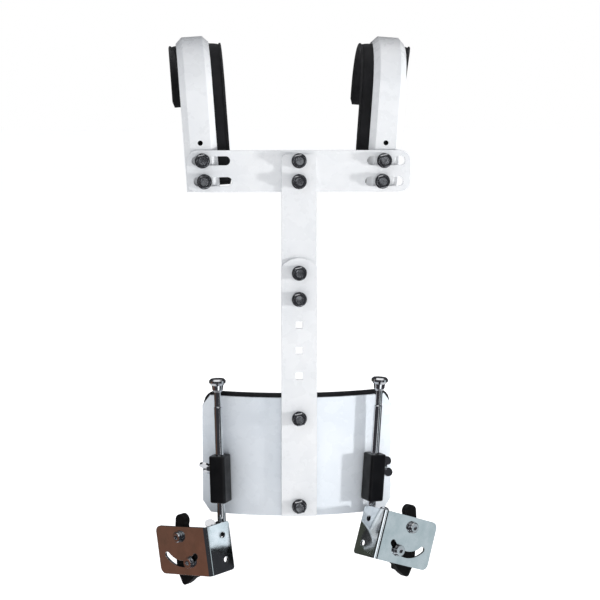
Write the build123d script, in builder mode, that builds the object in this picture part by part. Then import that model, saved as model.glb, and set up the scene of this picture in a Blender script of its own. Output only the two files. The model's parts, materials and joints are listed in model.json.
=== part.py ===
"""A marching-drum carrier: shoulder straps on a slotted bar, a two-piece spine, a belly plate,
and two sliding rods that each hold an angle bracket with a tilting claw."""
import os
from math import asin, cos, degrees, radians, sin, sqrt, tan

from build123d import *

os.makedirs("parts", exist_ok=True)

# Driving dimensions, in mm. The wearer faces -Y, and the origin is the middle of the shoulder saddle.
SHEET = 3.0
GAP = 0.3
BAR_Z = -126.0
BAR_BACK_Y = -60.0
BAR_LENGTH = 237.0
BAR_HEIGHT = 44.0
BOLT_ROW = 11.0
SLOT_CENTRE = 93.0
SLOT_ROW_SHIFT = 2.0
SLOT_LENGTH = 40.5
SLOT_WIDTH = 9.6

SPINE_WIDTH = 38.0
SPINE_UPPER_TOP = 18.0
SPINE_UPPER_BOTTOM = -150.0
SPINE_LOWER_TOP = -92.0
SPINE_LOWER_BOTTOM = -371.0
SPINE_BOLTS = (-108.0, -136.0)
SPINE_SPARES = (-163.5, -191.0, -218.5)
PLATE_BOLTS = (-264.5, -360.0)
NECK = 8.4

BOLT_R = 4.0
NUT_FLATS = 13.0
NUT_HEIGHT = 6.5
WASHER_R = 8.0
WASHER_T = 1.6
HEAD_R = 8.0
HEAD_T = 4.4

PLATE_TOP = -242.5
PLATE_BOTTOM = -371.0
PLATE_HALF = 103.0
PLATE_RADIUS = 190.0
PLATE_CUT = 12.0
BELLY_PAD_T = 11.0
BELLY_PAD_PROUD = 3.5

ARCH_RADIUS = 58.0
ARCH_Z = -42.5
STRAP_BOTTOM = -147.0
STRAP_BACK_Z = -50.0
STRAP_FACE = 11.0
STRAP_EDGE = 17.5
STRAP_LEAN = 4.0
STRAP_X = {"left": -102.0, "right": 91.0}
STRAP_HOLE_Z = 29.5
PAD_INNER = 30.0
PAD_OUTER = 21.0
PAD_DEPTH = 16.0
PAD_FRONT_Z = -141.0
PAD_BACK_Z = -57.0

ROD_R = 4.5
ROD_THIN_R = 4.0
ROD_STEP_Z = -252.0
ROD_REACH = 201.3
ROD_X = {"left": 84.5, "right": 81.0}
ROD_LEAN = {"left": 1.5, "right": 3.5}
# Half the outline of a rod's flared head: distances from the rod's axis and from its top.
ROD_HEAD = [(0, 0), (7.2, 0), (9.0, -1.8), (9.0, -4.2), (6.4, -7.0), (5.6, -12.0)]
ROD_TOP = -222.0
BLOCK_TOP = -305.0
BLOCK_BOTTOM = -356.0
BLOCK_WIDTH = 18.0
CLAMP_SCREW_DROP = 15.0
BLOCK_DEPTH = 20.5
FIT = 0.05

ARC_LEG = 77.0
HOLE_LEG = 36.0
LEG_HEIGHT = 53.0
BRACKET_T = 2.5
BEND_R = 4.0
PIVOT_U = 42.0
PIVOT_DROP = 11.0
ARC_RADIUS = 30.0
ARC_HALF_ANGLE = 46.0
ARC_SLOT_WIDTH = 7.0
SCREW_ANGLE = 24.0
SCREW_R = 3.0
HOLE_U = 25.0
HOLE_DROPS = (13.0, 40.0)
ARC_LEG_CORNER = 7.0
HOLE_LEG_CORNER = 3.5
LEG_HOLE_R = 3.2
CLAW_GAP = 0.4
CLAW_T = 8.0
CLAW_LIP = 9.0
CLAW_HEAD_R = 5.6
CLAW_HEAD_T = 3.2
CLAW_WASHER_R = 6.6
CLAW_WASHER_T = 1.2
CLAW_NUT_T = 5.0
COLLAR_R = 7.0
COLLAR_H = 14.0
COLLAR_U = 11.5
COLLAR_V = 36.0
COLLAR_DROP = 9.0
COLLAR_SCREW_YAW = 35.0
LUG_WIDTH = 7.0
LUG_HEIGHT = 13.0
WING_REACH = 6.2
WING_RADII = (4.8, 5.6)
WING_T = 2.6
HUB_R = 4.6
# For each side: the bracket's pitch, roll and yaw, and the height of the collar's top.
BRACKETS = {"left": (-3.0, 7.0, 46.0, -378.5), "right": (-12.0, 15.0, 35.0, -366.0)}
CLAMP_SCREW_TURN = {"left": 40, "right": 70}
COLLAR_SCREW_TURN = {"left": 45, "right": 20}

SIDES = {"left": -1, "right": 1}
BACK = Vector(0, 1, 0)
FRONT = Vector(0, -1, 0)


def front_plane(x, y, z):
    """A vertical plane whose normal points to the front."""
    return Plane(origin=(x, y, BAR_Z + z), x_dir=(1, 0, 0), z_dir=FRONT)


def save(shape, name):
    shape.label = name
    export_step(shape, f"parts/{name}.step")


def bolt_group(name, points, head_y, washer_y, neck):
    """Carriage bolts, washers and nuts, each kind as one group of separate solids."""
    head = front_plane(0, head_y, 0)
    with BuildPart() as bolts:
        with BuildSketch(head):
            with Locations(*points):
                Circle(HEAD_R)
        extrude(amount=-HEAD_T, taper=35)
        with BuildSketch(head):
            with Locations(*points):
                Rectangle(2 * BOLT_R, 2 * BOLT_R)
        extrude(amount=neck)
        with BuildSketch(head):
            with Locations(*points):
                Circle(BOLT_R)
        extrude(amount=head_y - washer_y + WASHER_T + NUT_HEIGHT + 3.5)
    save(bolts.part, f"{name}_bolts")
    with BuildPart() as washers:
        with BuildSketch(front_plane(0, washer_y, 0)):
            with Locations(*points):
                Circle(WASHER_R)
                Circle(BOLT_R + FIT, mode=Mode.SUBTRACT)
        extrude(amount=WASHER_T)
    save(washers.part, f"{name}_washers")
    with BuildPart() as nuts:
        with BuildSketch(front_plane(0, washer_y - WASHER_T, 0)):
            with Locations(*points):
                RegularPolygon(NUT_FLATS / 2, 6, major_radius=False, rotation=12)
                Circle(BOLT_R + FIT, mode=Mode.SUBTRACT)
        extrude(amount=NUT_HEIGHT)
        outer_rims = nuts.edges().filter_by(GeomType.LINE).group_by(Axis.Y)[0]
        chamfer(outer_rims, 0.7)
    save(nuts.part, f"{name}_nuts")


# The bar that joins the shoulder straps, with two rows of slots on each side.
with BuildPart() as shoulder_bar:
    with BuildSketch(front_plane(0, BAR_BACK_Y, 0)):
        RectangleRounded(BAR_LENGTH, BAR_HEIGHT, 11)
        for row, shift in ((BOLT_ROW, 0), (-BOLT_ROW, -SLOT_ROW_SHIFT)):
            with Locations((SLOT_CENTRE + shift, row), (-SLOT_CENTRE - shift, row)):
                SlotOverall(SLOT_LENGTH, SLOT_WIDTH, mode=Mode.SUBTRACT)
        with Locations((0, BOLT_ROW), (0, -BOLT_ROW)):
            Rectangle(NECK, NECK, mode=Mode.SUBTRACT)
    extrude(amount=SHEET)
save(shoulder_bar.part, "shoulder_bar")

# The upper spine bar stands in front of the shoulder bar.
UPPER_Y = BAR_BACK_Y - SHEET
upper_height = SPINE_UPPER_TOP - SPINE_UPPER_BOTTOM
with BuildPart() as spine_upper:
    with BuildSketch(front_plane(0, UPPER_Y, (SPINE_UPPER_TOP + SPINE_UPPER_BOTTOM) / 2)):
        RectangleRounded(SPINE_WIDTH - 1, upper_height, 5)
    extrude(amount=SHEET)
    with BuildSketch(front_plane(0, UPPER_Y, 0)):
        with Locations((0, BOLT_ROW), (0, -BOLT_ROW)):
            Circle(BOLT_R + 0.3)
        with Locations(*[(0, z) for z in SPINE_BOLTS]):
            Rectangle(NECK, NECK)
    extrude(amount=SHEET, mode=Mode.SUBTRACT)
save(spine_upper.part, "spine_upper")

# The lower spine bar stands in front of the upper one, and has spare square holes.
LOWER_Y = UPPER_Y - SHEET
with BuildPart() as spine_lower:
    half = SPINE_WIDTH / 2
    with BuildSketch(front_plane(0, LOWER_Y, 0)):
        with BuildLine():
            Polyline((-half, SPINE_LOWER_TOP - 9), (-half, SPINE_LOWER_BOTTOM), (half, SPINE_LOWER_BOTTOM),
                     (half, SPINE_LOWER_TOP - 9))
            ThreePointArc((half, SPINE_LOWER_TOP - 9), (0, SPINE_LOWER_TOP), (-half, SPINE_LOWER_TOP - 9))
        make_face()
        with Locations(*[(0, z) for z in SPINE_BOLTS + PLATE_BOLTS]):
            Circle(BOLT_R + 0.3, mode=Mode.SUBTRACT)
        with Locations(*[(0, z) for z in SPINE_SPARES]):
            Rectangle(NECK - 1, NECK - 1, mode=Mode.SUBTRACT)
    extrude(amount=SHEET)
save(spine_lower.part, "spine_lower")

# The belly plate is a curved sheet behind the lower spine, with its pad behind it.
PLATE_AXIS_Y = LOWER_Y + PLATE_RADIUS


def curved_sheet(outer_radius, thickness, half_width, bottom, top, cut, hole_half, hole_back_y):
    """A sheet bent about a vertical axis, its corners cut off, cut for the plate bolts as far as a depth."""
    with BuildPart() as sheet:
        with BuildSketch(Plane.XY.offset(BAR_Z + bottom)):
            with Locations((0, PLATE_AXIS_Y)):
                Circle(outer_radius)
                Circle(outer_radius - thickness, mode=Mode.SUBTRACT)
        extrude(amount=top - bottom)
        with BuildSketch(front_plane(0, 0, 0)):
            with BuildLine():
                Polyline((-half_width, bottom + cut), (-half_width + cut * 0.7, bottom),
                         (half_width - cut * 0.7, bottom), (half_width, bottom + cut),
                         (half_width, top - cut), (half_width - cut * 0.7, top),
                         (-half_width + cut * 0.7, top), (-half_width, top - cut), close=True)
            make_face()
        extrude(amount=PLATE_RADIUS, mode=Mode.INTERSECT)
        with BuildSketch(front_plane(0, hole_back_y, 0)):
            with Locations(*[(0, z) for z in PLATE_BOLTS]):
                Rectangle(2 * hole_half, 2 * hole_half)
        extrude(amount=PLATE_RADIUS, mode=Mode.SUBTRACT)
    return sheet.part


save(curved_sheet(PLATE_RADIUS, SHEET, PLATE_HALF, PLATE_BOTTOM, PLATE_TOP, PLATE_CUT, NECK / 2, 0), "belly_plate")
pad_radius = PLATE_RADIUS - SHEET
save(curved_sheet(pad_radius, BELLY_PAD_T, PLATE_HALF + 1, PLATE_BOTTOM - 1, PLATE_TOP + BELLY_PAD_PROUD,
                  PLATE_CUT, HEAD_R + 1, LOWER_Y + SHEET + HEAD_T + 1), "belly_pad")

# Fasteners of the fixed frame.
bolt_group("centre", [(0, BOLT_ROW), (0, -BOLT_ROW)], BAR_BACK_Y, UPPER_Y - SHEET, SHEET - 0.2)
bolt_group("spine", [(0, z) for z in SPINE_BOLTS], UPPER_Y, LOWER_Y - SHEET, SHEET - 0.2)
bolt_group("plate", [(0, z) for z in PLATE_BOLTS], LOWER_Y + SHEET + 0.25, LOWER_Y - SHEET, SHEET)

# Shoulder straps: a sheet folded into a shallow channel and bent over the shoulder, with a pad inside.
STRAP_FACE_Y = BAR_BACK_Y + GAP + SHEET / 2


def strap_frames(side):
    """The plane of a strap's bend, and the plane of its section at a height on the front leg."""
    lean = radians(STRAP_LEAN) * SIDES[side]
    origin = Vector(STRAP_X[side], STRAP_FACE_Y, BAR_Z)
    across = Vector(cos(lean), 0, -sin(lean))
    up = Vector(sin(lean), 0, cos(lean))
    bend = Plane(origin=origin, x_dir=BACK, z_dir=across)
    return bend, across, up


def hook(side, points, front_z, back_z):
    """Sweeps a section, given as points inboard and outward, up the front, over and down the back."""
    sign = SIDES[side]
    bend, across, up = strap_frames(side)
    arch = ARCH_Z - BAR_Z
    start = bend.origin + up * (front_z - BAR_Z)
    with BuildPart() as swept:
        with BuildLine(bend) as path:
            Line((0, front_z - BAR_Z), (0, arch))
            ThreePointArc((0, arch), (ARCH_RADIUS, arch + ARCH_RADIUS), (2 * ARCH_RADIUS, arch))
            Line((2 * ARCH_RADIUS, arch), (2 * ARCH_RADIUS, back_z - BAR_Z))
        with BuildSketch(Plane(origin=start, x_dir=across, z_dir=up)):
            with BuildLine():
                Polyline(*[(-sign * inboard, -outward) for inboard, outward in points], close=True)
            make_face()
        sweep(path=path.line)
    return swept.part


T2 = SHEET / 2
CHANNEL = [(-STRAP_EDGE, -5.0), (-STRAP_FACE, T2), (STRAP_FACE, T2), (STRAP_EDGE, -5.0),
           (STRAP_EDGE - 3.0, -6.6), (STRAP_FACE - 1.4, -T2), (-STRAP_FACE + 1.4, -T2), (-STRAP_EDGE + 3.0, -6.6)]
PAD_SECTION = [(-8.0, -T2), (8.0, -T2), (STRAP_EDGE - 3.6, -7.4), (PAD_INNER, -7.4), (PAD_INNER, -PAD_DEPTH),
               (-PAD_OUTER, -PAD_DEPTH), (-PAD_OUTER, -7.4), (-STRAP_EDGE + 3.6, -7.4)]

for side, sign in SIDES.items():
    rows = [(0, BOLT_ROW), (-sign * SLOT_ROW_SHIFT, -BOLT_ROW)]
    face_plane = front_plane(STRAP_X[side], STRAP_FACE_Y, 0)
    with BuildPart() as strap:
        add(hook(side, CHANNEL, STRAP_BOTTOM, STRAP_BACK_Z))
        with BuildSketch(face_plane):
            with Locations(*rows):
                Rectangle(NECK, NECK)
            with Locations((STRAP_HOLE_Z * sin(radians(STRAP_LEAN)) * sign, STRAP_HOLE_Z)):
                Circle(2.7)
        extrude(amount=SHEET, both=True, mode=Mode.SUBTRACT)
    save(strap.part, f"strap_{side}")
    with BuildPart() as pad:
        add(hook(side, PAD_SECTION, PAD_FRONT_Z, PAD_BACK_Z))
        with BuildSketch(face_plane.offset(-T2)):
            with Locations(*rows):
                Circle(HEAD_R + 0.4)
        extrude(amount=-HEAD_T - 1.0, mode=Mode.SUBTRACT)
    save(pad.part, f"shoulder_pad_{side}")
    bolt_group(f"strap_{side}", [(STRAP_X[side] + u, v) for u, v in rows], STRAP_FACE_Y + T2,
               BAR_BACK_Y - SHEET - GAP, SHEET - 0.2)


# Rods, clamp blocks, collars, angle brackets and claws.
def rod_plane(side, z):
    """The plane square to a leaning rod's axis, at a height."""
    lean = radians(ROD_LEAN[side]) * SIDES[side]
    middle = (BLOCK_TOP + BLOCK_BOTTOM) / 2
    x = SIDES[side] * ROD_X[side] + (z - middle) * tan(lean)
    y = PLATE_AXIS_Y - sqrt(ROD_REACH ** 2 - ROD_X[side] ** 2)
    axis = Vector(sin(lean), 0, cos(lean))
    return Plane(origin=(x, y, BAR_Z + z), x_dir=(cos(lean), 0, -sin(lean)), z_dir=axis)


def turned(plane, degrees):
    """The plane turned about its own normal."""
    x_dir = plane.x_dir * cos(radians(degrees)) + plane.y_dir * sin(radians(degrees))
    return Plane(origin=plane.origin, x_dir=x_dir, z_dir=plane.z_dir)


def block_plane(side, z):
    """The rod's plane turned so that the clamp block lies flat against the curved plate."""
    return turned(rod_plane(side, z), SIDES[side] * degrees(asin(ROD_X[side] / ROD_REACH)))


def arc_slot(centre):
    """A curved slot about a centre, with its middle straight below."""
    half_width = ARC_SLOT_WIDTH / 2
    start, end = -90 - ARC_HALF_ANGLE, -90 + ARC_HALF_ANGLE
    with BuildSketch() as slot:
        with BuildLine():
            for radius in (ARC_RADIUS - half_width, ARC_RADIUS + half_width):
                CenterArc(centre, radius, start, end - start)
            for angle, cap_start in ((start, start - 180), (end, end)):
                cap = (centre[0] + ARC_RADIUS * cos(radians(angle)), centre[1] + ARC_RADIUS * sin(radians(angle)))
                CenterArc(cap, half_width, cap_start, 180)
        make_face()
    return slot.sketch


def wing_screw(plane, reach, head):
    """A wing screw: its shank goes along -Z of the plane, and its wings stand out along +Z."""
    with BuildPart() as screw:
        with BuildSketch(plane):
            Circle(SCREW_R)
        extrude(amount=-reach)
        with BuildSketch(plane.offset(GAP)):
            Circle(HUB_R)
        extrude(amount=head, taper=6)
        with BuildSketch(plane):
            Circle(SCREW_R)
        extrude(amount=GAP)
        wing_plane = Plane(origin=plane.origin, x_dir=plane.x_dir, z_dir=plane.y_dir)
        with BuildSketch(wing_plane):
            with Locations((WING_REACH, -head - 2.2), (-WING_REACH, -head - 2.2)):
                Ellipse(*WING_RADII)
            with BuildLine():
                Polyline((-7, -head - 3), (-3.5, -head + 4), (3.5, -head + 4), (7, -head - 3), (0, -head + 1),
                         close=True)
            make_face()
        extrude(amount=WING_T / 2, both=True)
    return screw.part


def bracket_frame(side):
    """The top of the bracket's bend: X along the arc leg's face, Y along the hole leg, Z up."""
    pitch, roll, yaw, collar_top = BRACKETS[side]
    sign = SIDES[side]
    frame = Plane(origin=(0, 0, 0), x_dir=(1, 0, 0), z_dir=(0, 0, 1)).rotated((pitch, sign * roll, sign * yaw))
    rod_end = rod_plane(side, collar_top - COLLAR_H / 2).origin
    offset = frame.x_dir * (sign * COLLAR_U) + frame.y_dir * COLLAR_V + frame.z_dir * -COLLAR_DROP
    return Plane(origin=rod_end - offset, x_dir=frame.x_dir, z_dir=frame.z_dir)


def clamp_screw_plane(side):
    """Where a clamp block's wing screw enters, on the block's outboard face."""
    place = block_plane(side, BLOCK_TOP - CLAMP_SCREW_DROP)
    outboard = place.x_dir * SIDES[side]
    face = Plane(origin=place.origin + outboard * (BLOCK_WIDTH / 2), x_dir=place.y_dir, z_dir=outboard)
    return turned(face, CLAMP_SCREW_TURN[side])


def collar_screw_plane(side):
    """Where a collar's wing screw enters, square to the rod, to the front and outboard."""
    frame = bracket_frame(side)
    collar_top = BRACKETS[side][3]
    middle = rod_plane(side, collar_top - COLLAR_H / 2)
    yaw = radians(COLLAR_SCREW_YAW)
    towards = frame.x_dir * (SIDES[side] * cos(yaw)) - frame.y_dir * sin(yaw)
    towards = (towards - middle.z_dir * towards.dot(middle.z_dir)).normalized()
    face = Plane(origin=middle.origin + towards * (COLLAR_R + 0.5), x_dir=middle.z_dir, z_dir=towards)
    return turned(face, COLLAR_SCREW_TURN[side])


for side, sign in SIDES.items():
    _, roll, _, collar_top = BRACKETS[side]
    frame = bracket_frame(side)

    # Each clamp block is screwed flat against the belly plate, and its bore is the rod's slide.
    block_middle = block_plane(side, (BLOCK_TOP + BLOCK_BOTTOM) / 2)
    side_plane = clamp_screw_plane(side)
    with BuildPart() as block:
        with BuildSketch(block_middle):
            RectangleRounded(BLOCK_WIDTH, BLOCK_DEPTH, 3)
        extrude(amount=(BLOCK_TOP - BLOCK_BOTTOM) / 2, both=True)
        rims = block.edges().filter_by(GeomType.LINE).group_by(Axis.Z)
        chamfer(rims[-1] + rims[0], 1.0)
        with BuildSketch(block_middle):
            Circle(ROD_R + FIT)
        extrude(amount=BLOCK_TOP - BLOCK_BOTTOM, both=True, mode=Mode.SUBTRACT)
        with BuildSketch(side_plane.offset(1)):
            Circle(SCREW_R + FIT)
        extrude(amount=-BLOCK_WIDTH / 2 + ROD_R, mode=Mode.SUBTRACT)
    save(block.part, f"clamp_block_{side}")
    save(wing_screw(side_plane, BLOCK_WIDTH / 2 - ROD_R - 1.0, 5.0), f"clamp_screw_{side}")

    # The rod: a flared head, a thin upper part and a thicker lower part.
    collar_bottom = collar_top - COLLAR_H
    head_plane = rod_plane(side, ROD_TOP)
    slant = 1 / cos(radians(ROD_LEAN[side]))
    length = (ROD_TOP - collar_bottom + 1.5) * slant
    step = (ROD_TOP - ROD_STEP_Z) * slant
    with BuildPart() as rod:
        with BuildSketch(Plane(origin=head_plane.origin, x_dir=head_plane.x_dir, z_dir=-head_plane.y_dir)):
            with BuildLine():
                Polyline(*ROD_HEAD, (ROD_THIN_R, -14.5), (ROD_THIN_R, -step), (ROD_R, -step - 1),
                         (ROD_R, -length + 1), (ROD_R - 1, -length), (0, -length), close=True)
            make_face()
        revolve(axis=Axis(head_plane.origin, head_plane.z_dir))
    save(rod.part, f"rod_{side}")

    # The collar grips the rod's end, and its lug lies against the hole leg's inner face.
    collar_plane = rod_plane(side, collar_bottom)
    leg_inner = Plane(origin=frame.origin + frame.x_dir * (sign * BRACKET_T), x_dir=frame.y_dir,
                      z_dir=frame.x_dir * sign)
    lug_up = frame.z_dir.dot(leg_inner.y_dir)
    low_screw = collar_screw_plane(side)
    with BuildPart() as collar:
        with BuildSketch(collar_plane):
            Circle(COLLAR_R)
        extrude(amount=COLLAR_H * slant)
        with BuildSketch(leg_inner):
            with Locations((HOLE_LEG - LUG_WIDTH / 2, -lug_up * COLLAR_DROP)):
                Rectangle(LUG_WIDTH, LUG_HEIGHT)
        extrude(amount=COLLAR_U - BRACKET_T)
        with BuildSketch(collar_plane.offset(-8)):
            Circle(ROD_R + FIT)
        extrude(amount=COLLAR_H + 16, mode=Mode.SUBTRACT)
        with BuildSketch(low_screw.offset(1)):
            Circle(SCREW_R + FIT)
        extrude(amount=-COLLAR_R + ROD_R - 1, mode=Mode.SUBTRACT)
    save(collar.part, f"collar_{side}")
    save(wing_screw(low_screw, COLLAR_R - ROD_R - 0.3, 4.0), f"collar_screw_{side}")

    # The angle bracket: an arc leg with a pivot hole and a curved slot, and a leg with two plain holes.
    face = Plane(origin=frame.origin, x_dir=frame.x_dir, z_dir=-frame.y_dir)
    hole_face = Plane(origin=frame.origin, x_dir=frame.y_dir, z_dir=frame.x_dir * sign)
    slot = arc_slot((sign * PIVOT_U, -PIVOT_DROP))
    with BuildPart() as bracket:
        with BuildSketch(frame):
            with BuildLine():
                Polyline((0, 0), (sign * ARC_LEG, 0), (sign * ARC_LEG, BRACKET_T),
                         (sign * BRACKET_T, BRACKET_T), (sign * BRACKET_T, HOLE_LEG), (0, HOLE_LEG), close=True)
            make_face()
        extrude(amount=-LEG_HEIGHT)
        for inset, radius in ((0, BEND_R), (BRACKET_T, BEND_R - BRACKET_T)):
            bend_line = frame.from_local_coords((sign * inset, inset, -LEG_HEIGHT / 2))
            fillet(bracket.edges().sort_by_distance(bend_line)[0], radius)
        for z in (0, -LEG_HEIGHT):
            corner = frame.from_local_coords((sign * ARC_LEG, BRACKET_T / 2, z))
            fillet(bracket.edges().sort_by_distance(corner)[0], ARC_LEG_CORNER)
            corner = frame.from_local_coords((sign * BRACKET_T / 2, HOLE_LEG, z))
            fillet(bracket.edges().sort_by_distance(corner)[0], HOLE_LEG_CORNER)
        with BuildSketch(face):
            with Locations((sign * PIVOT_U, -PIVOT_DROP)):
                Circle(SCREW_R + FIT)
            add(slot)
        extrude(amount=BRACKET_T * 2, both=True, mode=Mode.SUBTRACT)
        with BuildSketch(hole_face):
            for drop in HOLE_DROPS:
                with Locations((HOLE_U, -frame.z_dir.dot(hole_face.y_dir) * drop)):
                    Circle(LEG_HOLE_R)
        extrude(amount=BRACKET_T * 2, both=True, mode=Mode.SUBTRACT)
    save(bracket.part, f"bracket_{side}")

    # The claw stands behind the arc leg, on the pivot screw and the slot screw.
    pivot = frame.from_local_coords((sign * PIVOT_U, BRACKET_T + CLAW_GAP, -PIVOT_DROP))
    claw_plane = Plane(origin=pivot, x_dir=frame.x_dir, z_dir=-frame.y_dir)
    claw_plane = turned(claw_plane, sign * roll)
    screw_turn = radians(SCREW_ANGLE + roll)
    slot_spot = (-sign * ARC_RADIUS * sin(screw_turn), -ARC_RADIUS * cos(screw_turn))
    with BuildPart() as claw:
        with BuildSketch(claw_plane):
            with BuildLine():
                Spline((sign * -6, 14), (sign * -9, 0), (sign * -20, -12), (sign * -26, -26), (sign * -19, -40))
                ThreePointArc((sign * -19, -40), (sign * -13, -47), (sign * -5, -53))
                ThreePointArc((sign * -5, -53), (sign * -2, -54), (sign * 1, -52))
                Polyline((sign * 1, -52), (sign * 8, -38), (sign * 9, 0), (sign * 7, 18))
                ThreePointArc((sign * 7, 18), (0, 24), (sign * -6, 14))
            make_face()
        extrude(amount=-CLAW_T)
        with BuildSketch(claw_plane.offset(-CLAW_T)):
            with Locations((sign * -4, -44)):
                RectangleRounded(15, 9, 3)
        extrude(amount=-CLAW_LIP, taper=4)
        with BuildSketch(claw_plane):
            with Locations((0, 0), slot_spot):
                Circle(SCREW_R + FIT)
        extrude(amount=-CLAW_T - CLAW_LIP, mode=Mode.SUBTRACT)
    save(claw.part, f"claw_{side}")

    # The pivot screw and the slot screw, with a washer on the front and a nut behind the claw.
    spots = [(0, 0), slot_spot]
    washer_plane = claw_plane.offset(BRACKET_T + CLAW_GAP + GAP)
    head_plane = washer_plane.offset(CLAW_WASHER_T)
    shank = CLAW_WASHER_T + GAP + BRACKET_T + CLAW_GAP + CLAW_T + CLAW_NUT_T + 1.5
    with BuildPart() as screws:
        with BuildSketch(head_plane):
            with Locations(*spots):
                Circle(CLAW_HEAD_R)
        extrude(amount=CLAW_HEAD_T)
        rims = screws.edges().filter_by(GeomType.CIRCLE).sort_by_distance(head_plane.offset(30).origin)[:2]
        chamfer(rims, 0.8)
        with BuildSketch(head_plane.offset(CLAW_HEAD_T)):
            with Locations(*spots):
                RegularPolygon(2.8, 6)
        extrude(amount=-2.2, mode=Mode.SUBTRACT)
        with BuildSketch(head_plane):
            with Locations(*spots):
                Circle(SCREW_R)
        extrude(amount=-shank)
    save(screws.part, f"claw_screws_{side}")
    with BuildPart() as claw_washers:
        with BuildSketch(washer_plane):
            with Locations(*spots):
                Circle(CLAW_WASHER_R)
                Circle(SCREW_R + FIT, mode=Mode.SUBTRACT)
        extrude(amount=CLAW_WASHER_T)
    save(claw_washers.part, f"claw_washers_{side}")
    with BuildPart() as claw_nuts:
        with BuildSketch(claw_plane.offset(-CLAW_T)):
            with Locations(*spots):
                RegularPolygon(5.0, 6, major_radius=False)
                Circle(SCREW_R + FIT, mode=Mode.SUBTRACT)
        extrude(amount=-CLAW_NUT_T)
    save(claw_nuts.part, f"claw_nuts_{side}")
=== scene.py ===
"""Looks for a marching-drum carrier: finishes for its metal and plastic, soft pads, lights and camera."""
import json
import math

import bmesh
import bpy
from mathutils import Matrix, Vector, noise


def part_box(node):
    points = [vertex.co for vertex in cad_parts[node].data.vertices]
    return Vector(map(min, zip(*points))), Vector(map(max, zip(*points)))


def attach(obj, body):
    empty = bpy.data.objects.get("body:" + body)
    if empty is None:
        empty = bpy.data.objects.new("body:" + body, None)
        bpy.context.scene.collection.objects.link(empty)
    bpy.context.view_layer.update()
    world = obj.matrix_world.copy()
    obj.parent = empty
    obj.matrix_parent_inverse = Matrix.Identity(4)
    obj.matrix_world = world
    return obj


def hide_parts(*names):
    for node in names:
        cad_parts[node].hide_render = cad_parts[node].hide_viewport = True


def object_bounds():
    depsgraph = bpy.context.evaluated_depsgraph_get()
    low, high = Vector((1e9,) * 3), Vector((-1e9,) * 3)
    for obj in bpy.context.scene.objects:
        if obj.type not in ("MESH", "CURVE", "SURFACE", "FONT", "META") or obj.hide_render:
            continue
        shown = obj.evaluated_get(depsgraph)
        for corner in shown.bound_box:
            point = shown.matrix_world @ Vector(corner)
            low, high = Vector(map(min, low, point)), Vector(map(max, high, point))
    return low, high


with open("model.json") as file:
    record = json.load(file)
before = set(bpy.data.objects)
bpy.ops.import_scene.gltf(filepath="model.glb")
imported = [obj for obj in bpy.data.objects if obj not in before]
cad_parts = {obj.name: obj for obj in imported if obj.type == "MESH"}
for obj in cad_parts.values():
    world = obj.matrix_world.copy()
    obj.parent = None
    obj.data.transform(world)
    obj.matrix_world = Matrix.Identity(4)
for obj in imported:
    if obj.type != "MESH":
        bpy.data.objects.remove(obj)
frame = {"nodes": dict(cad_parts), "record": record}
cad_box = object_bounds()

MM = 0.001
TAU = math.tau


# ---------------------------------------------------------------- camera
AZIMUTH = math.radians(-4.0)
ELEVATION = math.radians(6.3)
CAMERA_DISTANCE = 2.0
CAMERA_LENS = 110.6
AIM = Vector((0.0035, -0.030, -0.267))


def look_along(direction):
    """The rotation that turns a camera or an area light to face along a direction."""
    return direction.to_track_quat("-Z", "Y")


def make_camera():
    data = bpy.data.cameras.new("camera")
    data.lens = CAMERA_LENS
    camera = bpy.data.objects.new("camera", data)
    bpy.context.scene.collection.objects.link(camera)
    back = Vector((math.sin(AZIMUTH) * math.cos(ELEVATION), -math.cos(AZIMUTH) * math.cos(ELEVATION),
                   math.sin(ELEVATION)))
    camera.location = AIM + back * CAMERA_DISTANCE
    camera.rotation_mode = "QUATERNION"
    camera.rotation_quaternion = look_along(-back)
    bpy.context.scene.camera = camera


make_camera()


# ---------------------------------------------------------------- materials
NOISE_ROUGHNESS = 0.55
BEVEL_SAMPLES = 4

# A Mix node names its sockets alike for every data type, so the colour ones are found by number.
MIX_FACTOR = 0
MIX_FIRST = 6
MIX_SECOND = 7
MIX_RESULT = 2


def mix_colours(tree, factor, first, second):
    """Mixes two colours, each given as a tuple or as another node's output."""
    node = tree.nodes.new("ShaderNodeMix")
    node.data_type = "RGBA"
    tree.links.new(factor, node.inputs[MIX_FACTOR])
    for socket, colour in ((MIX_FIRST, first), (MIX_SECOND, second)):
        if isinstance(colour, tuple):
            node.inputs[socket].default_value = (*colour, 1)
        else:
            tree.links.new(colour, node.inputs[socket])
    return node.outputs[MIX_RESULT]


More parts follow.
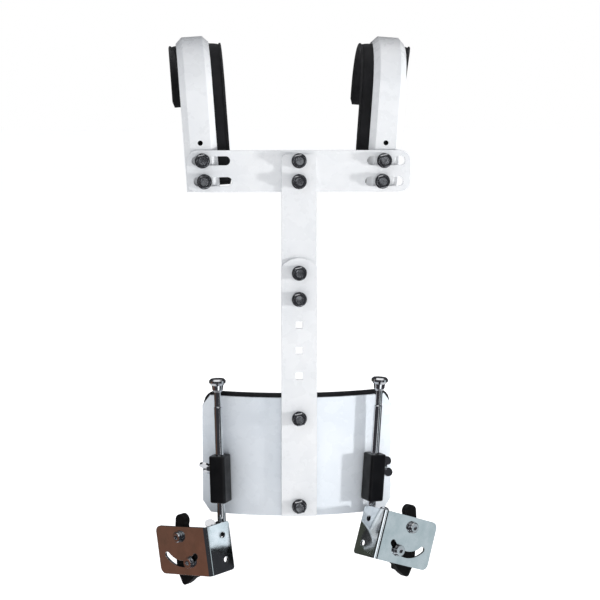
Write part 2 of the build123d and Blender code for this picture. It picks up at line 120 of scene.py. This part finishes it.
class Finish:
    """A small builder for one procedural material."""

    def __init__(self, name, colour, metallic=0.0, **constants):
        self.material = bpy.data.materials.new(name)
        self.material.use_nodes = True
        self.tree = self.material.node_tree
        self.nodes = self.tree.nodes
        self.links = self.tree.links
        self.shader = self.nodes["Principled BSDF"]
        self.shader.inputs["Base Color"].default_value = (*colour, 1)
        self.shader.inputs["Metallic"].default_value = metallic
        for socket, value in constants.items():
            self.shader.inputs[socket.replace("_", " ")].default_value = value
        self.place = self.nodes.new("ShaderNodeTexCoord").outputs["Object"]
        self.normal = None

    def stretched(self, scale):
        mapping = self.nodes.new("ShaderNodeMapping")
        mapping.inputs["Scale"].default_value = scale
        self.links.new(self.place, mapping.inputs["Vector"])
        return mapping.outputs["Vector"]

    def noise(self, scale, detail=4.0, stretch=None):
        node = self.nodes.new("ShaderNodeTexNoise")
        node.inputs["Scale"].default_value = scale
        node.inputs["Detail"].default_value = detail
        node.inputs["Roughness"].default_value = NOISE_ROUGHNESS
        self.links.new(self.stretched(stretch) if stretch else self.place, node.inputs["Vector"])
        return node.outputs["Fac"]

    def wave(self, scale, direction, distortion=0.0):
        node = self.nodes.new("ShaderNodeTexWave")
        node.bands_direction = direction
        node.inputs["Scale"].default_value = scale
        node.inputs["Distortion"].default_value = distortion
        self.links.new(self.place, node.inputs["Vector"])
        return node.outputs["Fac"]

    def ramp(self, factor, low, high, start=0.35, end=0.65):
        """Maps the middle of a noise's range to a wanted range."""
        node = self.nodes.new("ShaderNodeMapRange")
        node.inputs["From Min"].default_value = start
        node.inputs["From Max"].default_value = end
        node.inputs["To Min"].default_value = low
        node.inputs["To Max"].default_value = high
        self.links.new(factor, node.inputs["Value"])
        return node.outputs["Result"]

    def product(self, first, second):
        node = self.nodes.new("ShaderNodeMath")
        node.operation = "MULTIPLY"
        self.links.new(first, node.inputs[0])
        self.links.new(second, node.inputs[1])
        return node.outputs[0]

    def roughness(self, factor, low, high):
        self.links.new(self.ramp(factor, low, high), self.shader.inputs["Roughness"])

    def colours(self, factor, first, second, **span):
        mixed = mix_colours(self.tree, self.ramp(factor, 0, 1, **span), first, second)
        self.links.new(mixed, self.shader.inputs["Base Color"])

    def use_normal(self, output):
        self.normal = output
        self.links.new(output, self.shader.inputs["Normal"])

    def soft_edges(self, radius):
        """Rounds sharp edges in the shading. It comes before any bump."""
        node = self.nodes.new("ShaderNodeBevel")
        node.samples = BEVEL_SAMPLES
        node.inputs["Radius"].default_value = radius
        self.use_normal(node.outputs["Normal"])

    def bump(self, height, strength, distance):
        """Adds relief to what is there; several calls stack up."""
        node = self.nodes.new("ShaderNodeBump")
        node.inputs["Strength"].default_value = strength
        node.inputs["Distance"].default_value = distance
        self.links.new(height, node.inputs["Height"])
        if self.normal:
            self.links.new(self.normal, node.inputs["Normal"])
        self.use_normal(node.outputs["Normal"])


def white_coat(name, shade, tone):
    """Gloss white powder coat: fine orange peel, a faint waviness and slight changes of tone."""
    f = Finish(name, tone, Coat_Weight=0.35, Coat_Roughness=0.12)
    f.soft_edges(0.5 * MM)
    f.colours(f.noise(14, 6), shade, tone)
    f.roughness(f.noise(60, 5), 0.20, 0.36)
    f.bump(f.noise(900, 2), 0.10, 0.10 * MM)
    f.bump(f.noise(9, 2), 0.12, 0.6 * MM)
    return f.material


def chrome(name, colour, low, high, tarnish, waviness=0.4 * MM):
    """Bright plating: roughness from low to high, polishing lines, duller patches and a wavy face."""
    f = Finish(name, colour, metallic=1.0)
    f.soft_edges(0.35 * MM)
    f.colours(f.noise(70, 5), colour, tarnish)
    f.roughness(f.noise(45, 6), low, high)
    f.bump(f.noise(300, 3, stretch=(1, 1, 9)), 0.05, 0.05 * MM)
    f.bump(f.noise(28, 2), 0.05, waviness)
    return f.material


def threaded_chrome():
    """Plated steel with fine rings along Y, the axis of the bolts, for a screw thread."""
    f = Finish("threaded_steel", (0.62, 0.63, 0.65), metallic=1.0)
    f.colours(f.noise(90, 4), (0.45, 0.46, 0.48), (0.72, 0.73, 0.75))
    f.roughness(f.noise(120, 4), 0.16, 0.34)
    f.bump(f.wave(250, "Y"), 0.55, 0.35 * MM)
    return f.material


def black_plastic():
    """Moulded black nylon with a fine texture and uneven gloss."""
    f = Finish("black_plastic", (0.006, 0.006, 0.007), Specular_IOR_Level=0.3)
    f.soft_edges(0.4 * MM)
    f.colours(f.noise(50, 6), (0.002, 0.002, 0.003), (0.006, 0.006, 0.007))
    f.roughness(f.noise(80, 4), 0.30, 0.50)
    f.bump(f.noise(1400, 3), 0.25, 0.12 * MM)
    return f.material


def black_rubber():
    """Matt rubber on the claws, faintly mottled."""
    f = Finish("black_rubber", (0.006, 0.006, 0.006), Specular_IOR_Level=0.3)
    f.soft_edges(0.5 * MM)
    f.colours(f.noise(35, 7), (0.002, 0.002, 0.002), (0.008, 0.007, 0.007), start=0.45, end=0.8)
    f.roughness(f.noise(60, 5), 0.55, 0.80)
    f.bump(f.noise(700, 4), 0.30, 0.20 * MM)
    return f.material


def pad_cloth():
    """Black woven nylon over foam: a fine weave, soft unevenness and a low sheen."""
    f = Finish("pad_cloth", (0.006, 0.006, 0.007), Sheen_Weight=0.08, Sheen_Roughness=0.4)
    f.colours(f.noise(26, 7), (0.003, 0.003, 0.004), (0.010, 0.010, 0.012))
    f.roughness(f.noise(40, 4), 0.72, 0.92)
    weave = f.product(f.wave(330, "X", 0.4), f.wave(330, "Z", 0.4))
    f.bump(weave, 0.45, 0.25 * MM)
    f.bump(f.noise(18, 4), 0.25, 1.2 * MM)
    return f.material


def piping_cloth():
    """The bound edge of a pad: a tighter, slightly shinier tape."""
    f = Finish("piping_cloth", (0.008, 0.008, 0.009), Sheen_Weight=0.06)
    f.colours(f.noise(90, 4), (0.004, 0.004, 0.005), (0.014, 0.014, 0.016))
    f.roughness(f.noise(70, 4), 0.50, 0.70)
    f.bump(f.wave(420, "DIAGONAL", 0.2), 0.5, 0.2 * MM)
    return f.material


WHITE = white_coat("white_coat", (0.83, 0.845, 0.86), (0.92, 0.925, 0.93))
# The belly plate has the same white coat as the bars; its darker, bluer colour here is painted shade.
PLATE_WHITE_PAINTED_SHADE = white_coat("plate_coat_painted_shade", (0.76, 0.81, 0.86), (0.84, 0.88, 0.92))
BRIGHT = chrome("chrome", (0.80, 0.81, 0.83), 0.04, 0.12, (0.66, 0.67, 0.70))
NUT_STEEL = chrome("nut_steel", (0.66, 0.67, 0.69), 0.06, 0.15, (0.48, 0.49, 0.51))
MIRROR = chrome("mirror_plate", (0.72, 0.75, 0.77), 0.03, 0.10, (0.60, 0.65, 0.67), waviness=4 * MM)
BOLT_STEEL = threaded_chrome()
PLASTIC = black_plastic()
RUBBER = black_rubber()
CLOTH = pad_cloth()
PIPING = piping_cloth()

SLOT_FINISH = {"white_coat": WHITE, "black_plastic": PLASTIC, "black_rubber": RUBBER, "foam_pad": CLOTH}
NODE_SLOT = {row["node"]: row["material_slot"] for row in frame["record"]["subparts"]}


def finish_for(node):
    """The slot's finish, with the belly plate's white painted darker and bluer as shade, and several kinds of
    plated steel.
    """
    if node == "belly_plate":
        return PLATE_WHITE_PAINTED_SHADE
    if NODE_SLOT[node] in SLOT_FINISH:
        return SLOT_FINISH[NODE_SLOT[node]]
    if node.startswith("bracket"):
        return MIRROR
    if "nuts" in node or "washers" in node or node.startswith("claw_screws"):
        return NUT_STEEL
    return BOLT_STEEL if node.endswith("bolts") else BRIGHT


for name, node in frame["nodes"].items():
    finish = finish_for(name)
    if node.material_slots:
        for material_slot in node.material_slots:
            material_slot.material = finish
    else:
        node.data.materials.append(finish)


# ---------------------------------------------------------------- mesh helpers
def piece(name, points, faces, finish, smooth=True):
    mesh = bpy.data.meshes.new(name)
    mesh.from_pydata([tuple(p) for p in points], [], faces)
    mesh.update()
    for polygon in mesh.polygons:
        polygon.use_smooth = smooth
    mesh.materials.append(finish)
    made = bpy.data.objects.new(name, mesh)
    bpy.context.scene.collection.objects.link(made)
    return made


def closed_piece(name, points, faces, finish):
    """A piece whose faces all point outward."""
    made = piece(name, points, faces, finish)
    work = bmesh.new()
    work.from_mesh(made.data)
    bmesh.ops.recalc_face_normals(work, faces=work.faces)
    work.to_mesh(made.data)
    work.free()
    return made


def lofted(name, rings, finish):
    """Skins closed rings of the same length and caps both ends."""
    count = len(rings[0])
    points = [p for ring in rings for p in ring]
    faces = [(i * count + j, i * count + (j + 1) % count,
              (i + 1) * count + (j + 1) % count, (i + 1) * count + j)
             for i in range(len(rings) - 1) for j in range(count)]
    for start in (0, (len(rings) - 1) * count):
        centre = sum((points[start + j] for j in range(count)), Vector()) / count
        points.append(centre)
        faces += [(start + j, start + (j + 1) % count, len(points) - 1) for j in range(count)]
    return closed_piece(name, points, faces, finish)


ASIDE = Vector((0.37, 0.61, 0.70))    # a direction that no piping runs along, to turn its rings by


def looped_tube(name, line, radius, finish, sides=10):
    """A round tube along a closed line of points."""
    count = len(line)
    points = []
    for i, point in enumerate(line):
        along = (line[(i + 1) % count] - line[i - 1]).normalized()
        side = along.cross(ASIDE).normalized()
        other = along.cross(side)
        points += [point + radius * (side * math.cos(TAU * k / sides) + other * math.sin(TAU * k / sides))
                   for k in range(sides)]
    faces = [(i * sides + j, i * sides + (j + 1) % sides, (i + 1) % count * sides + (j + 1) % sides,
              (i + 1) % count * sides + j) for i in range(count) for j in range(sides)]
    return closed_piece(name, points, faces, finish)


def superellipse(half_width, half_height, steps, power):
    """A rounded rectangle as points round its middle."""
    points = []
    for k in range(steps):
        c, s = math.cos(TAU * k / steps), math.sin(TAU * k / steps)
        points.append((math.copysign(abs(c) ** (2 / power), c) * half_width,
                       math.copysign(abs(s) ** (2 / power), s) * half_height))
    return points


def rolled(share):
    """A quarter circle's rise from 0 to 1, for an edge that rolls over."""
    return math.sqrt(max(0.0, 1 - (1 - min(1, share)) ** 2))


def eased(share):
    """A smooth step from 0 to 1."""
    return share * share * (3 - 2 * share)


def noise_at(*place):
    return noise.noise(Vector(place))


# ---------------------------------------------------------------- shoulder pads
# The hooks' centre line, as the CAD has it.
LEAN = math.radians(4)
ARCH_RADIUS = 58 * MM
ARCH_HEIGHT = 83.5 * MM
ARCH_LENGTH = math.pi * ARCH_RADIUS
STRAP_X = {"left": -102 * MM, "right": 91 * MM}
STRAP_Y = -58.2 * MM
BAR_Z = -126 * MM

# A pad lies inside its hook, PAD_TOP to PAD_DEPTH in from the hook's centre line.
PAD_START = -15 * MM
PAD_BACK_DROP = 14.5 * MM
PAD_TOP = 6.6 * MM
PAD_DEPTH = 16 * MM
PAD_INNER = 30 * MM             # reach from the hook's middle towards the neck
PAD_OUTER = 16.5 * MM           # reach away from the neck, in front
PAD_BACK_OUTER = 25 * MM        # and behind
WIDENING_RATE = 1.7             # how fast the pad reaches its full width over the arch

PAD_STATIONS = 110
PAD_RING_STEPS = 48
PAD_SQUARENESS = 3.4
END_SHARE = 0.035               # the share of its length over which an end rolls over
END_THICKNESS = 0.55
END_WIDTH = 0.90
INNER_CROWN = 1.43 * MM         # how much the inner face bulges in its middle
FOLD_HEIGHT = 1.3 * MM
FOLD_ALONG, FOLD_ACROSS = 55, 24            # folds per metre, about
CREASE_DEPTH = 0.84 * MM
CREASE_ALONG, CREASE_ACROSS = 120, 9
FOLD_SEED, CREASE_SEED = 3, 7

PIPING_RADIUS = 1.2 * MM
PIPING_DROP = 1.5 * MM
PIPING_REACH = 0.985
PIPING_END_REACH = 0.95
PIPING_END_THICKNESS = 0.9


def hook_station(side, along):
    """The place on a hook's centre line at a length along it, with the directions across it and outward."""
    sign = -1 if side == "left" else 1
    across = Vector((math.cos(LEAN), 0, -math.sin(LEAN) * sign))
    up = Vector((math.sin(LEAN) * sign, 0, math.cos(LEAN)))
    back = Vector((0, 1, 0))
    origin = Vector((STRAP_X[side], STRAP_Y, BAR_Z))
    if along < ARCH_HEIGHT:
        return origin + up * along, across, -back
    if along < ARCH_HEIGHT + ARCH_LENGTH:
        turn = (along - ARCH_HEIGHT) / ARCH_RADIUS
        out = -back * math.cos(turn) + up * math.sin(turn)
        return origin + up * ARCH_HEIGHT + back * ARCH_RADIUS + out * ARCH_RADIUS, across, out
    rest = along - ARCH_HEIGHT - ARCH_LENGTH
    return origin + up * (ARCH_HEIGHT - rest) + back * 2 * ARCH_RADIUS, across, back


def shoulder_pad(side):
    """A foam pad in the hook: crowned and folded inside, thinner at its ends, with a bound edge."""
    sign = -1 if side == "left" else 1
    length = ARCH_HEIGHT + ARCH_LENGTH + PAD_BACK_DROP
    half_thickness = (PAD_DEPTH - PAD_TOP) / 2
    centre = -(PAD_TOP + PAD_DEPTH) / 2
    rings = []
    edge_lines = {1: [], -1: []}
    for i in range(PAD_STATIONS + 1):
        along = PAD_START + (length - PAD_START) * i / PAD_STATIONS
        point, across, out = hook_station(side, along)
        over = max(0, min(1, (along - ARCH_HEIGHT) / ARCH_LENGTH))
        outer = PAD_OUTER + (PAD_BACK_OUTER - PAD_OUTER) * eased(min(1, over * WIDENING_RATE))
        half = (outer + PAD_INNER) / 2
        middle = (PAD_INNER - outer) / 2
        from_end = min(i, PAD_STATIONS - i) / PAD_STATIONS
        fullness = END_THICKNESS + (1 - END_THICKNESS) * rolled(from_end / END_SHARE)
        width = half * (END_WIDTH + (1 - END_WIDTH) * fullness)
        ring = []
        for u, v in superellipse(width, half_thickness * fullness, PAD_RING_STEPS, PAD_SQUARENESS):
            shift = v
            if v < 0:
                fold = noise_at(along * FOLD_ALONG, u * FOLD_ACROSS, FOLD_SEED + sign)
                crease = abs(noise_at(along * CREASE_ALONG, u * CREASE_ACROSS, CREASE_SEED + sign))
                shift += INNER_CROWN * (u / half) ** 2 + FOLD_HEIGHT * fold - CREASE_DEPTH * crease
            ring.append(point + across * (-sign * (middle + u)) + out * (centre + shift))
        rings.append(ring)
        reach = half * (PIPING_REACH if fullness > PIPING_END_THICKNESS else PIPING_END_REACH)
        for edge, line in edge_lines.items():
            line.append(point + across * (-sign * (middle + edge * reach)) + out * (-PAD_TOP - PIPING_DROP))
    pad = lofted(f"pad_{side}", rings, CLOTH)
    loop = edge_lines[1] + edge_lines[-1][::-1]
    piping = looped_tube(f"pad_piping_{side}", loop, PIPING_RADIUS, PIPING)
    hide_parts(f"shoulder_pad_{side}")
    for made in (pad, piping):
        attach(made, f"strap_{side}")


for pad_side in ("left", "right"):
    shoulder_pad(pad_side)


# ---------------------------------------------------------------- belly pad
PLATE_AXIS_Y = 124 * MM         # the upright axis that the plate and its pad curve round
CUSHION_RADIUS = 186.8 * MM     # of the face against the plate
CUSHION_THICKNESS = 11 * MM
CUSHION_HALF_WIDTH = 101 * MM
CORNER = 14 * MM
BOTTOM_INSET = 4 * MM

COLUMNS, ROWS = 72, 44
RIM_WIDTH = 9 * MM              # how far in from the edge the pad reaches its full thickness
RIM_THICKNESS = 0.30            # the edge's share of the full thickness
SWELL = 1 * MM                  # how far the face may rise above the full thickness
DIMPLE_HEIGHT = 0.9 * MM
DIMPLES = 22                    # dimples per metre, about
RIPPLE_DEPTH = 0.7 * MM
RIPPLES_ACROSS, RIPPLES_UP = 60, 14
DIMPLE_SEED, RIPPLE_SEED = 1.7, 4.2
BELLY_PIPING_RADIUS = 1.4 * MM


def rounded_corners(x, z, half_height):
    """Moves a point of the pad's rectangle so that the corners come out round."""
    corner_x, corner_z = CUSHION_HALF_WIDTH - CORNER, half_height - CORNER
    if abs(x) > corner_x and abs(z) > corner_z:
        dx, dz = abs(x) - corner_x, abs(z) - corner_z
        scale = max(dx, dz) / math.hypot(dx, dz)
        x = math.copysign(corner_x + dx * scale, x)
        z = math.copysign(corner_z + dz * scale, z)
    return x, z


def belly_pad():
    """A curved foam pad behind the plate, crowned towards the wearer, with round corners and a bound edge."""
    low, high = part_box("belly_pad")
    middle = (low.z + high.z) / 2 + BOTTOM_INSET / 2
    half_height = (high.z - low.z - BOTTOM_INSET) / 2
    points, faces = [], []
    index = {"plate": {}, "wearer": {}}
    for layer, at in index.items():
        for i in range(COLUMNS + 1):
            for j in range(ROWS + 1):
                u, v = 2 * i / COLUMNS - 1, 2 * j / ROWS - 1
                x, z = rounded_corners(u * CUSHION_HALF_WIDTH, v * half_height, half_height)
                depth = 0
                if layer == "wearer":
                    inward = min((1 - abs(u)) * CUSHION_HALF_WIDTH, (1 - abs(v)) * half_height)
                    crown = rolled(inward / RIM_WIDTH)
                    relief = DIMPLE_HEIGHT * noise_at(x * DIMPLES, z * DIMPLES, DIMPLE_SEED)
                    relief -= RIPPLE_DEPTH * abs(noise_at(x * RIPPLES_ACROSS, z * RIPPLES_UP, RIPPLE_SEED))
                    full = CUSHION_THICKNESS * (RIM_THICKNESS + (1 - RIM_THICKNESS) * crown)
                    depth = min(full + relief * crown, CUSHION_THICKNESS + SWELL)
                radius = CUSHION_RADIUS - depth
                turn = math.asin(x / CUSHION_RADIUS)
                at[i, j] = len(points)
                points.append(Vector((radius * math.sin(turn), PLATE_AXIS_Y - radius * math.cos(turn),
                                      middle + z)))
        faces += [(at[i, j], at[i + 1, j], at[i + 1, j + 1], at[i, j + 1])
                  for i in range(COLUMNS) for j in range(ROWS)]
    plate_side, wearer_side = index["plate"], index["wearer"]
    rim_path = [(i, 0) for i in range(COLUMNS)] + [(COLUMNS, j) for j in range(ROWS)]
    rim_path += [(i, ROWS) for i in range(COLUMNS, 0, -1)] + [(0, j) for j in range(ROWS, 0, -1)]
    for here, there in zip(rim_path, rim_path[1:] + rim_path[:1]):
        faces.append((plate_side[here], plate_side[there], wearer_side[there], wearer_side[here]))
    pad = closed_piece("belly_cushion", points, faces, CLOTH)
    rim = [(points[plate_side[place]] + points[wearer_side[place]]) / 2 for place in rim_path]
    piping = looped_tube("belly_piping", rim[::2], BELLY_PIPING_RADIUS, PIPING)
    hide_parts("belly_pad")
    for made in (pad, piping):
        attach(made, "frame")


belly_pad()


# ---------------------------------------------------------------- studio
FLOOR_DROP = 0.05
FLOOR_HALF_SIZE = 30
FLOOR_GLOW = 0.72

# What polished surfaces mirror. Each patch has a direction, the cosines of the angles where it is full and
# where it ends, and a colour.
ROOM = [
    ((-0.95, 0.03, -0.31), 0.99, 0.94, (0.20, 0.085, 0.055)),
    ((-0.9, 0.45, 0.0), 0.95, 0.85, (0.07, 0.075, 0.06)),
    ((0.94, -0.28, -0.19), 0.99, 0.975, (0.62, 0.70, 0.73)),
    ((-0.45, -0.85, 0.35), 0.97, 0.94, (1.6, 1.65, 1.7)),
    ((0.35, -0.85, -0.45), 0.975, 0.955, (1.5, 1.55, 1.6)),
    ((0.22, -0.95, 0.20), 0.995, 0.985, (1.6, 1.65, 1.7)),
    ((0.0, -0.2, 1.0), 0.90, 0.70, (1.0, 1.0, 1.0)),
    ((0.1, 0.6, -1.0), 0.95, 0.60, (0.85, 0.86, 0.88)),
]
ROOM_WALLS = (0.045, 0.045, 0.05)
AMBIENT = (0.30, 0.31, 0.33)
BACKDROP = (1.0, 1.0, 1.0)


def area_light(name, place, target, size, power, colour=(1, 1, 1)):
    """A light that isn't mirrored in polished surfaces."""
    data = bpy.data.lights.new(name, "AREA")
    data.shape = "RECTANGLE"
    data.size, data.size_y = size
    data.energy = power
    data.color = colour
    light = bpy.data.objects.new(name, data)
    bpy.context.scene.collection.objects.link(light)
    light.location = place
    light.rotation_mode = "QUATERNION"
    light.rotation_quaternion = look_along(target - Vector(place))
    light.visible_glossy = False


def make_floor(low):
    corners = [(x * FLOOR_HALF_SIZE, y * FLOOR_HALF_SIZE, low.z - FLOOR_DROP)
               for x, y in ((-1, -1), (1, -1), (1, 1), (-1, 1))]
    pale = Finish("pale_floor", (0.93, 0.93, 0.93), Emission_Color=(1, 1, 1, 1),
                  Emission_Strength=FLOOR_GLOW)
    pale.colours(pale.noise(0.8, 3), (0.92, 0.92, 0.92), (0.95, 0.95, 0.95))
    pale.roughness(pale.noise(2, 3), 0.8, 0.9)
    floor = piece("floor", corners, [(0, 1, 2, 3)], pale.material, smooth=False)
    floor.visible_glossy = False


def make_lights(low, high):
    middle = (low + high) / 2
    area_light("key", (1.9, -0.75, middle.z - 0.1), middle, size=(0.12, 0.12), power=24)
    area_light("fill", (-1.6, -1.6, middle.z + 0.9), middle, size=(1.2, 1.2), power=5,
               colour=(0.93, 0.96, 1))
    area_light("top", (0.1, -0.3, high.z + 1.5), middle, size=(1.2, 0.8), power=7)
    area_light("back", (0.4, 1.8, high.z + 0.6), middle, size=(1.2, 1.2), power=8)


def make_world():
    """Plain white to the camera, an even grey as light, and a dim room with soft boxes to gloss."""
    world = bpy.data.worlds.new("studio")
    world.use_nodes = True
    bpy.context.scene.world = world
    tree = world.node_tree
    paths = tree.nodes.new("ShaderNodeLightPath")
    direction = tree.nodes.new("ShaderNodeTexCoord").outputs["Generated"]
    room = ROOM_WALLS
    for towards, inner, outer, colour in ROOM:
        dot = tree.nodes.new("ShaderNodeVectorMath")
        dot.operation = "DOT_PRODUCT"
        dot.inputs[1].default_value = Vector(towards).normalized()
        tree.links.new(direction, dot.inputs[0])
        patch = tree.nodes.new("ShaderNodeMapRange")
        patch.inputs["From Min"].default_value = outer
        patch.inputs["From Max"].default_value = inner
        tree.links.new(dot.outputs["Value"], patch.inputs["Value"])
        room = mix_colours(tree, patch.outputs["Result"], room, colour)
    lit = mix_colours(tree, paths.outputs["Is Glossy Ray"], AMBIENT, room)
    seen = mix_colours(tree, paths.outputs["Is Camera Ray"], lit, BACKDROP)
    tree.links.new(seen, tree.nodes["Background"].inputs["Color"])


make_floor(cad_box[0])
make_lights(*cad_box)
make_world()
bpy.context.scene.view_settings.view_transform = "Standard"
